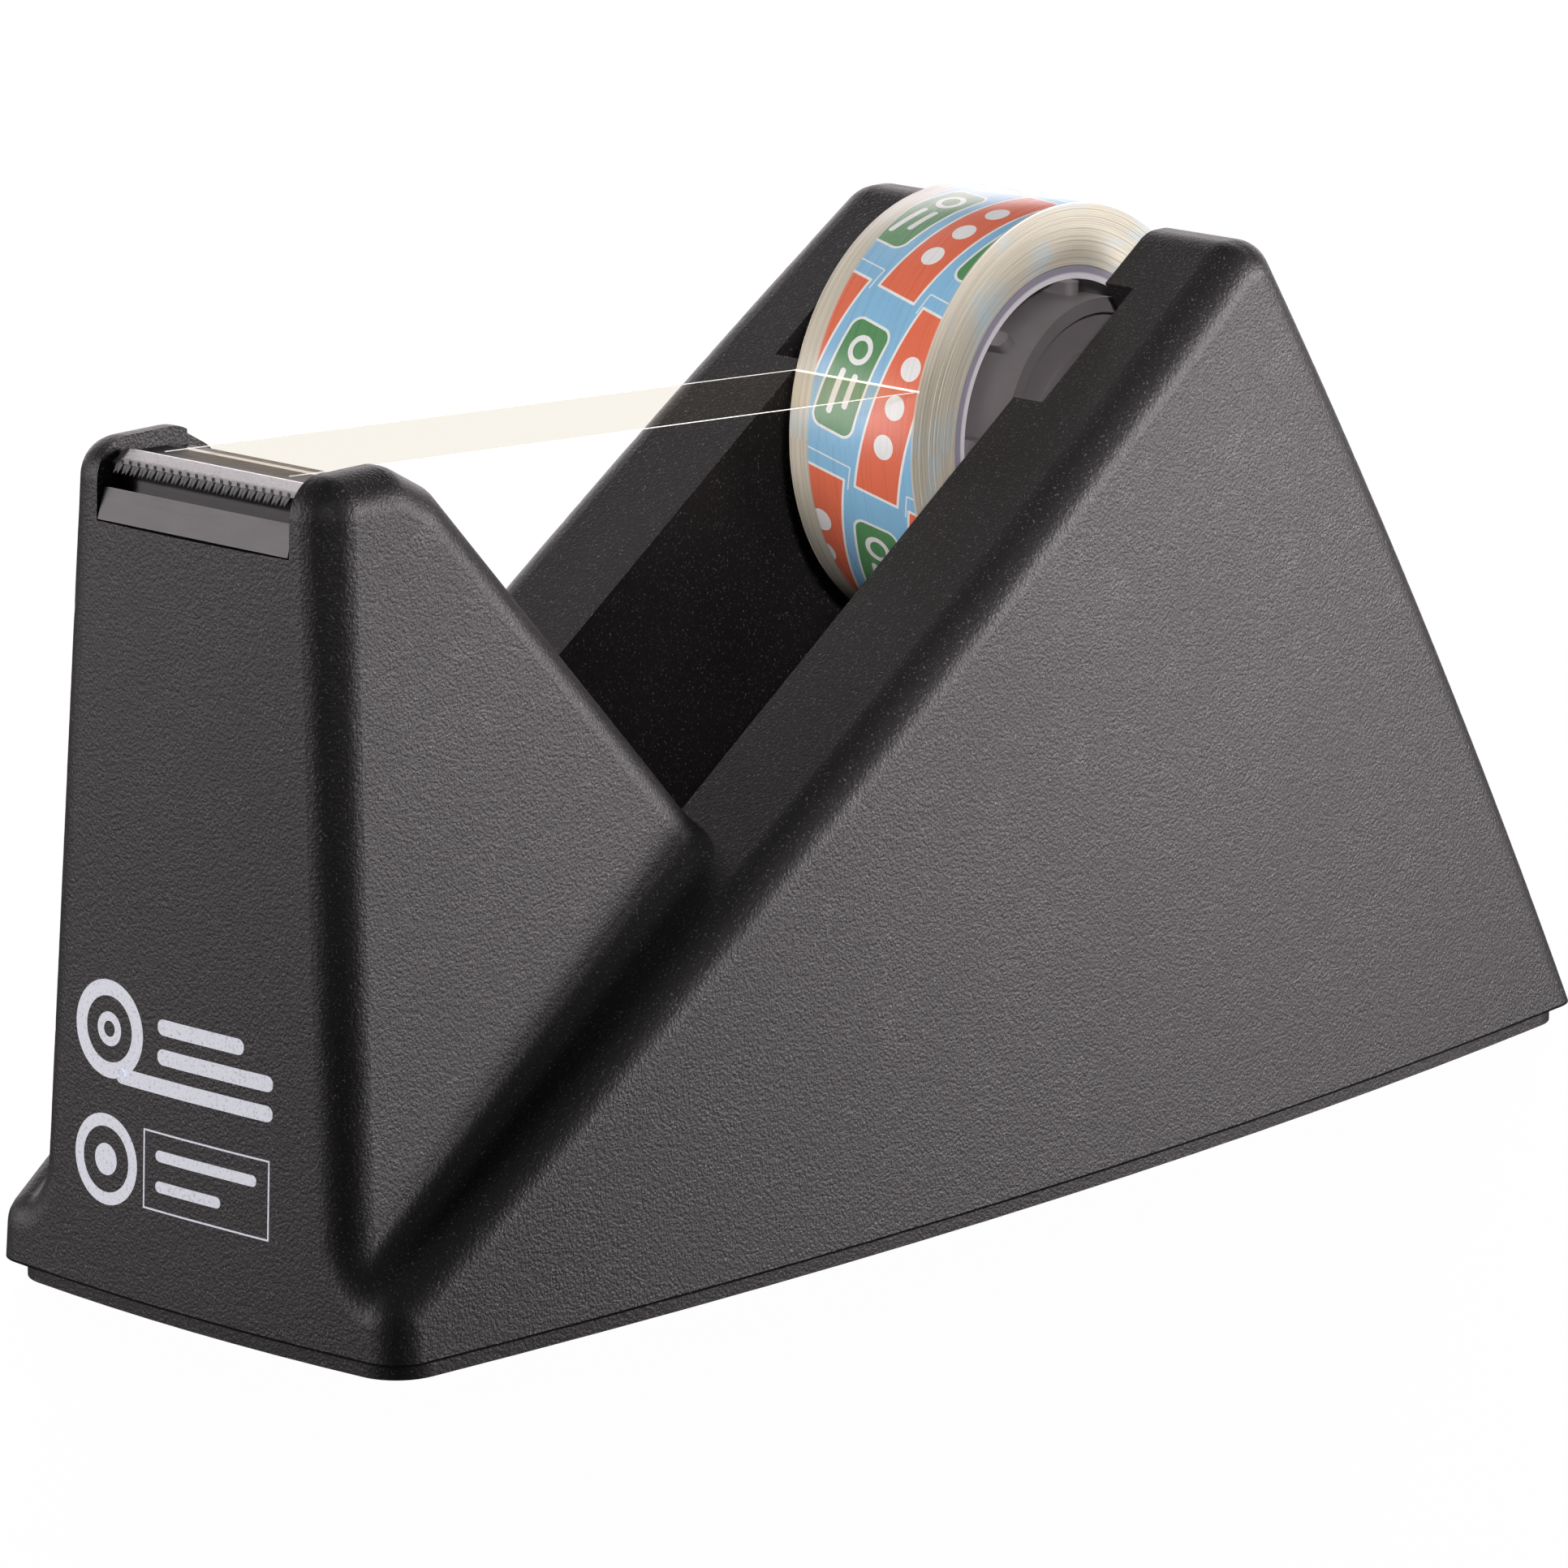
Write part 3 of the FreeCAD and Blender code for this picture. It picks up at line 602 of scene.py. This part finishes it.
def seat_plastic(settings):
    """Smooth satin plastic with faint streaks and a groove darkened as painted shade."""
    finish = Finish("seat_plastic", Specular_IOR_Level=0.5)
    place = finish.place()
    streaks = finish.noise(finish.stretched(place, (1, 0.15, 1)), 0.5 * MM, 3.0)
    smudge = finish.noise(place, 4 * MM, 3.0)
    height = finish.axes(place)[2]
    landing = height > SEAT_TOP - 0.15 * MM
    # Painted shade: the groove under the blade, where shadow falls, is darkened to near black.
    painted_shade_groove = (height > SEAT_TOP - 2.55 * MM) * (height < SEAT_TOP - 0.15 * MM)
    grey = finish.blend(smudge, tone(settings.plastic, 0.85), tone(settings.plastic, 1.2))
    finish.set("Base Color", finish.blend(painted_shade_groove, grey, tone(settings.plastic, 0.15)))
    finish.set("Roughness", 0.26 + streaks * 0.08 + smudge * 0.06 + landing * 0.22 - painted_shade_groove * 0.17)
    finish.set("Normal", finish.bump(streaks, 0.006 * MM))
    return finish


# ---- hub and core ----------------------------------------------------------
def hub_plastic(settings):
    """Charcoal plastic coloured mid-grey as a painted sheen, with soft edges and fine turning marks."""
    finish = Finish("hub_plastic", Specular_IOR_Level=0.5)
    place = finish.place()
    marks = finish.noise(finish.stretched(place, (1, 9, 1)), 1.6 * MM, 3.0)
    fine = finish.noise(place, 0.12 * MM, 1.0)
    smudge = finish.noise(place, 5 * MM, 3.0)
    light = tone(settings.plastic, 1.25)
    finish.set("Base Color", finish.blend(smudge, tone(settings.plastic, 0.8), light))
    finish.set("Roughness", 0.30 + marks * 0.05 + smudge * 0.08)
    soft = finish.add("ShaderNodeBevel", {"samples": 4}, {"Radius": settings.edge}).outputs[0]
    finish.set("Normal", finish.bump(fine * 0.5 + marks * 0.5, 0.006 * MM, soft))
    return finish


def core_plastic(settings):
    """White ring that is greyer where the tape begins."""
    finish = Finish("core_plastic", Specular_IOR_Level=0.5)
    place = finish.place()
    _, _, _, radius = round_the_roll(finish, place)
    outside = finish.between(radius, CORE_RADIUS / MM - 0.75, CORE_RADIUS / MM - 0.55)
    mottle = finish.noise(place, 1.2 * MM, 3.0)
    white = finish.blend(mottle, tone(settings.core, 0.93), settings.core)
    finish.set("Base Color", finish.blend(outside, white, settings.core_edge))
    finish.set("Roughness", 0.38 + mottle * 0.12)
    finish.set("Normal", finish.bump(finish.noise(place, 0.2 * MM), 0.004 * MM))
    return finish


# ---- roll of tape ----------------------------------------------------------
def round_the_roll(finish, place):
    """Run round the roll, place across it, angle and radius, lengths in millimetres."""
    x, y, z = finish.axes(place)
    ahead = (x - AXIS_X) / MM
    above = (z - AXIS_Z) / MM
    angle = above.math("ARCTAN2", above, ahead)
    radius = (ahead * ahead + above * above).root()
    return angle * (ROLL_RADIUS / MM), y / MM, angle, radius


def box_distance(run, cross, half_run, half_cross, corner):
    """Distance from a rounded rectangle, negative inside it."""
    a = abs(run) - (half_run - corner)
    b = abs(cross) - (half_cross - corner)
    outside = (a.most(0) * a.most(0) + b.most(0) * b.most(0)).root()
    return outside + a.most(b).least(0) - corner


def disc_distance(run, cross, radius):
    return (run * run + cross * cross).root() - radius


def wound_finish(settings):
    """Film over a printed layer: cream edges, blue ground, panels and badges."""
    finish = Finish("wound_tape", Specular_IOR_Level=0.4, Coat_Roughness=0.22, Coat_IOR=1.5)
    place = finish.place()
    run, cross, angle, radius = round_the_roll(finish, place)
    # The print runs in slanted lanes that meet themselves after one turn of the roll.
    turn = 2 * math.pi * ROLL_RADIUS / MM
    lane = settings.lane / MM
    slant = math.asin(settings.lanes * lane / turn)
    cos, sin = math.cos(slant), math.sin(slant)
    period = turn * cos / (settings.lanes / 2 + 1)
    along_lane = run * cos + cross * sin - PRINT_START[0]
    across_lanes = cross * cos - run * sin - PRINT_START[1]
    number = (across_lanes / lane + 0.5).floor()
    side = across_lanes - number * lane
    badge_run = (along_lane + number * (period / 2)).wrapped(period / 2)
    panel_run = (badge_run - 0.3 + period / 2).wrapped(period / 2)

    badge = box_distance(badge_run, side, *BADGE)
    panel = box_distance(panel_run, side, *PANEL)
    bracket = abs(box_distance(panel_run + 0.5, side + 0.1, *BRACKET)) < 0.07
    bracket = bracket * (panel_run < -8.2)
    ground = finish.blend(finish.noise(place, 7 * MM), settings.ground, tone(settings.ground, 1.18))
    printed = finish.blend(bracket, ground, settings.line)
    printed = finish.blend(panel < 0, printed, settings.line)
    printed = finish.blend(panel < -OUTLINE, printed, settings.panel)
    printed = finish.blend(badge < 0, printed, settings.line)
    printed = finish.blend(badge < -OUTLINE, printed, settings.badge)

    ring_mark = abs(disc_distance(badge_run + 2.6, side, MARK_RADIUS)) < OUTLINE
    long_bar = box_distance(badge_run - 1.7, side - 0.8, *LONG_BAR) < 0
    short_bar = box_distance(badge_run - 1.2, side + 0.8, *SHORT_BAR) < 0
    beads = disc_distance((panel_run - 0.2).wrapped(1.9), side, MARK_RADIUS) < 0
    beads = beads * (abs(panel_run - 0.2) < 5.6)
    for mark in (ring_mark.most(long_bar).most(short_bar), beads):
        printed = finish.blend(mark, printed, settings.line)

    threads = finish.noise(finish.vector(run * 0.06, cross * 7, radius * 7), 1.0, 3.0, 0.65)
    haze = finish.noise(finish.vector(angle * 2.4, 0.0, radius * 0.35), 1.0, 2.0)
    film = finish.blend(finish.between(threads, 0.36, 0.64), settings.film_dark, settings.film)
    film = finish.blend(finish.between(haze, 0.5, 0.75, 0.0, 0.35), film, tone(settings.ground, 1.5))
    outside = radius > ROLL_RADIUS / MM - 0.22
    inside_margin = finish.between(abs(cross + 1.05), 6.15, 6.35, 1.0, 0.0)
    veil = finish.between(threads, 0.3, 0.7, 0.86, 0.94)
    finish.set("Base Color", finish.blend(outside * inside_margin * veil, film, printed))
    finish.set("Roughness", 0.44 - outside * 0.2 + threads * 0.08)
    finish.set("Coat Weight", outside * 0.3)
    finish.set("Normal", finish.bump(threads, 0.02 * MM))
    return finish


def wound_profile(settings):
    """Closed (radius, y) profile whose sides are uneven bundles of film."""
    chance = random.Random(SEED)
    inner = CORE_RADIUS + 0.03 * MM
    outer = ROLL_RADIUS
    step = (outer - inner) / settings.layers
    round_off = 0.12 * MM
    near, far = [], []
    for side in (near, far):
        for i in range(settings.layers):
            sunk = settings.wobble * chance.random()
            for share in (0.08, 0.5, 0.92):
                dip = 0.0 if share == 0.5 else settings.wobble * 0.35
                side.append((inner + step * (i + share), TAPE_HALF - sunk - dip))
    crown = [(outer - round_off * 0.3, TAPE_HALF - round_off * 0.35), (outer, TAPE_HALF - round_off)]
    right = [(r, -y) for r, y in near + crown]
    left = far + crown
    return right + left[::-1]


def wound_tape(settings):
    mesh_tool = lathe(wound_profile(settings), 180)
    piece = piece_from(mesh_tool, "wound_tape", "spool", [wound_finish(settings)])
    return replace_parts(piece, "tape_roll")


def strand_film(settings):
    """Thin clear film: it tints what is behind it and mirrors a little."""
    finish = Finish("strand_film", Specular_IOR_Level=0.5)
    place = finish.place()
    ripples = finish.noise(finish.stretched(place, (0.25, 1, 1)), 3 * MM, 3.0)
    finish.set("Base Color", finish.blend(ripples, tone(settings.tint, 0.95), settings.tint))
    finish.set("Roughness", 0.15 + ripples * 0.1)
    finish.set("Normal", finish.bump(ripples, 0.01 * MM))
    clear = finish.add("ShaderNodeBsdfTransparent", {}, {"Color": settings.tint}).outputs[0]
    share = finish.between(ripples, 0.3, 0.7, 0.001, 0.004)
    sockets = {0: share, 1: clear, 2: finish.shader.outputs[0]}
    mixed = finish.add("ShaderNodeMixShader", {}, sockets)
    finish.feed(finish.output.inputs["Surface"], mixed.outputs[0])
    return finish


def painted_edge_glint(settings):
    finish = Finish("painted_film_edge_glint", Specular_IOR_Level=0.5)
    place = finish.place()
    glint_specks = finish.noise(place, 0.5 * MM, 2.0)
    finish.set("Base Color", finish.blend(glint_specks, (0.93, 0.93, 0.9), (1.0, 1.0, 0.98)))
    finish.set("Roughness", 0.3 + glint_specks * 0.2)
    # Painted highlight: the clear film's cut edges are white and glow by emission, as if catching the light.
    finish.set("Emission Color", finish.blend(glint_specks, (0.5, 0.5, 0.48), (0.62, 0.62, 0.6)))
    finish.feed(finish.shader.inputs["Emission Strength"], 0.6)
    return finish


def ribbon(mesh_tool, path, thickness, y0, y1):
    """A thin closed strip that follows a path in the XZ plane."""
    rings = []
    for point in path:
        up = Vector((0, 0, thickness))
        a = point + Vector((0, y0, 0))
        b = point + Vector((0, y1, 0))
        rings.append(add_ring(mesh_tool, [a, b, b + up, a + up]))
    skin(mesh_tool, rings, closed_path=False)


def strand_path():
    """From the landing behind the cutter, straight to the roll's surface."""
    start = Vector((LEADER_LOW.x, 0, LEADER_HIGH.z - 0.2 * MM))
    reach = ROLL_RADIUS + 0.08 * MM
    end_angle = math.atan2(LEADER_LOW.z - AXIS_Z, LEADER_HIGH.x - AXIS_X)
    end = Vector((AXIS_X, 0, AXIS_Z)) + along(end_angle) * reach
    steps = 24
    return [start.lerp(end, i / steps) for i in range(steps + 1)], end_angle


def free_strand(settings):
    path, end_angle = strand_path()
    film = bmesh.new()
    ribbon(film, path, settings.strand, -TAPE_HALF, TAPE_HALF)
    piece = piece_from(film, "film_strand", "tape_strand", [strand_film(settings)])
    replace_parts(piece, "tape_leader")
    # Painted highlights: glowing white lines along both cut edges and across the roll where the film leaves
    # it.
    lines = bmesh.new()
    width = settings.edge_line
    lift = Vector((0, 0, settings.strand * 0.25))
    raised = [point + lift for point in path]
    ribbon(lines, raised, settings.strand, -TAPE_HALF, -TAPE_HALF + width)
    ribbon(lines, raised, settings.strand, TAPE_HALF - width, TAPE_HALF)
    arc = [end_angle + math.radians(t) for t in (-0.2, 0.2)]
    surface = ROLL_RADIUS + 0.03 * MM
    contact = [Vector((AXIS_X, 0, AXIS_Z)) + along(a) * surface for a in arc]
    ribbon(lines, contact, settings.strand, -TAPE_HALF, TAPE_HALF)
    return piece_from(lines, "film_edge_glints", "tape_strand", [painted_edge_glint(settings)])


# ---- base ------------------------------------------------------------------
def plain_finish(name, base, size, roughness, depth, metal=0.0):
    """Mottled finish for the foam, the castings and the screws."""
    finish = Finish(name, Metallic=metal)
    place = finish.place()
    mottle = finish.noise(place, size, 4.0, 0.65)
    finish.set("Base Color", finish.blend(mottle, tone(base, 0.7), tone(base, 1.3)))
    finish.set("Roughness", roughness + mottle * 0.2 - 0.1)
    finish.set("Normal", finish.bump(mottle, depth))
    return finish


# ---- operators -------------------------------------------------------------
class DISPENSER_OT_housing(Operator):
    """Grained charcoal finish and printed symbols of the housing"""
    bl_idname = "dispenser.housing"
    bl_label = "Housing"

    def execute(self, context):
        settings = context.scene.dispenser_housing
        paint("housing", grained_plastic("housing_plastic", settings))
        print_symbols(settings)
        return {"FINISHED"}


class DISPENSER_OT_base(Operator):
    """Finishes of the base plate, pad, screws and weights"""
    bl_idname = "dispenser.base"
    bl_label = "Base"

    def execute(self, context):
        settings = context.scene.dispenser_base
        grain = context.scene.dispenser_housing
        paint("base_plate", grained_plastic("base_plastic", grain, 0.8))
        paint("anti_slip_pad", plain_finish("pad_foam", settings.foam, 0.4 * MM, 0.85, 0.06 * MM))
        iron = plain_finish("cast_iron", settings.iron, 1.1 * MM, 0.7, 0.12 * MM, metal=0.6)
        for node in ("rear_weight", "front_weight"):
            paint(node, iron)
        paint("base_screws", plain_finish("zinc_plate", settings.zinc, 0.5 * MM, 0.35, 0.01 * MM, metal=1.0))
        return {"FINISHED"}


class DISPENSER_OT_cutter(Operator):
    """Toothed steel cutter and its smooth seat"""
    bl_idname = "dispenser.cutter"
    bl_label = "Cutter"

    def execute(self, context):
        settings = context.scene.dispenser_cutter
        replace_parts(cutter(settings), "cutter_blade")
        paint("blade_holder", seat_plastic(settings))
        return {"FINISHED"}


class DISPENSER_OT_hub(Operator):
    """Finishes of the hub, its caps and the core ring"""
    bl_idname = "dispenser.hub"
    bl_label = "Hub"

    def execute(self, context):
        settings = context.scene.dispenser_hub
        plastic = hub_plastic(settings)
        for node in ("hub_drum", "hub_cap_near", "hub_cap_far"):
            paint(node, plastic)
        paint("tape_core", core_plastic(settings))
        return {"FINISHED"}


class DISPENSER_OT_roll(Operator):
    """Wound tape with its printed layer"""
    bl_idname = "dispenser.roll"
    bl_label = "Roll of tape"

    def execute(self, context):
        wound_tape(context.scene.dispenser_tape)
        return {"FINISHED"}


class DISPENSER_OT_strand(Operator):
    """Free film from the roll to the cutter"""
    bl_idname = "dispenser.strand"
    bl_label = "Free strand"

    def execute(self, context):
        free_strand(context.scene.dispenser_tape)
        return {"FINISHED"}


def add_lamp(name, place, size, power, aim=(0, 0, 0.04), spread=180):
    """A soft rectangular lamp that faces the object."""
    lamp = bpy.data.lights.new(name, "AREA")
    lamp.shape = "RECTANGLE"
    lamp.size, lamp.size_y = size
    lamp.energy = power
    lamp.spread = math.radians(spread)
    lamp.color = LAMP_COLOUR
    holder = bpy.data.objects.new(name, lamp)
    holder.location = place
    holder.rotation_euler = (Vector(aim) - Vector(place)).to_track_quat("-Z", "Y").to_euler()
    holder.visible_camera = False
    bpy.context.scene.collection.objects.link(holder)


def add_floor(settings):
    mesh_tool = bmesh.new()
    bmesh.ops.create_grid(mesh_tool, x_segments=2, y_segments=2, size=settings.floor_size / 2)
    mesh = bpy.data.meshes.new("studio_floor")
    mesh_tool.to_mesh(mesh)
    mesh_tool.free()
    floor = bpy.data.objects.new("studio_floor", mesh)
    finish = Finish("studio_floor", Roughness=0.9, Specular_IOR_Level=0.1, Base_Color=(0.0, 0.0, 0.0),
                    Emission_Color=settings.floor, Emission_Strength=settings.glow)
    floor.visible_diffuse = False
    floor.visible_glossy = False
    floor.visible_shadow = False
    mesh.materials.append(finish.material)
    bpy.context.scene.collection.objects.link(floor)


def add_sky():
    """Dim at the horizon and a little brighter overhead."""
    world = bpy.data.worlds.new("studio")
    bpy.context.scene.world = world
    sky = Tree(world)
    direction = sky.add("ShaderNodeTexCoord", {}, {}).outputs["Generated"]
    height = sky.axes(direction)[2]
    share = sky.between(height, 0.0, 0.5)
    glow = sky.blend(share, HORIZON_GREY, OVERHEAD_GREY)
    back = sky.add("ShaderNodeBackground", {}, {"Color": glow, "Strength": 1.0})
    sky.add("ShaderNodeOutputWorld", {}, {"Surface": back.outputs[0]})


def add_camera(settings):
    data = bpy.data.cameras.new("camera")
    data.sensor_width = 36.0
    data.lens = settings.lens
    data.clip_start = 0.01
    camera = bpy.data.objects.new("camera", data)
    camera.location = settings.camera
    camera.rotation_euler = (math.pi / 2 - settings.pitch, 0, settings.heading)
    bpy.context.scene.collection.objects.link(camera)
    bpy.context.scene.camera = camera


class DISPENSER_OT_stage(Operator):
    """Floor, lamps, sky and camera"""
    bl_idname = "dispenser.stage"
    bl_label = "Stage"

    def execute(self, context):
        settings = context.scene.dispenser_studio
        add_floor(settings)
        add_lamp("right_lamp", (0.72, -0.64, 0.14), size=(0.4, 0.4), power=0.72,
                 aim=(0.13, 0, 0.07), spread=39)
        add_lamp("roll_lamp", (-0.50, -0.58, 0.36), size=(0.10, 0.10), power=0.022,
                 aim=(0.022, 0, 0.070), spread=6)
        add_lamp("back_lamp", (1.10, 1.00, 0.42), size=(2.2, 0.9), power=15)
        add_lamp("top_lamp", (0.30, 0.85, 0.92), size=(0.4, 0.12), power=0.3)
        add_lamp("left_lamp", (-0.95, 0.85, 0.20), size=(1.1, 0.55), power=9)
        add_sky()
        add_camera(settings)
        context.scene.view_settings.view_transform = "Standard"
        return {"FINISHED"}


class DISPENSER_PT_panel(Panel):
    """Pieces of the tape dispenser"""
    bl_idname = "DISPENSER_PT_panel"
    bl_label = "Tape dispenser"
    bl_space_type = "VIEW_3D"
    bl_region_type = "UI"
    bl_category = "Dispenser"

    def draw(self, context):
        for operator in OPERATORS:
            self.layout.operator(operator.bl_idname)
        for name, group in SETTINGS.items():
            box = self.layout.box()
            for key in group.__annotations__:
                box.prop(getattr(context.scene, name), key)


OPERATORS = (DISPENSER_OT_housing, DISPENSER_OT_base, DISPENSER_OT_cutter, DISPENSER_OT_hub,
             DISPENSER_OT_roll, DISPENSER_OT_strand, DISPENSER_OT_stage)
SETTINGS = {
    "dispenser_housing": HousingSettings,
    "dispenser_base": BaseSettings,
    "dispenser_cutter": CutterSettings,
    "dispenser_hub": HubSettings,
    "dispenser_tape": TapeSettings,
    "dispenser_studio": StudioSettings,
}


def register():
    for group in (*SETTINGS.values(), *OPERATORS, DISPENSER_PT_panel):
        bpy.utils.register_class(group)
    for name, group in SETTINGS.items():
        setattr(bpy.types.Scene, name, PointerProperty(type=group))


def unregister():
    for name in SETTINGS:
        delattr(bpy.types.Scene, name)
    for group in (DISPENSER_PT_panel, *reversed(OPERATORS), *reversed(SETTINGS.values())):
        bpy.utils.unregister_class(group)


def main():
    register()
    bpy.ops.dispenser.housing()
    bpy.ops.dispenser.base()
    bpy.ops.dispenser.cutter()
    bpy.ops.dispenser.hub()
    bpy.ops.dispenser.roll()
    bpy.ops.dispenser.strand()
    bpy.ops.dispenser.stage()


if __name__ == "__main__":
    main()
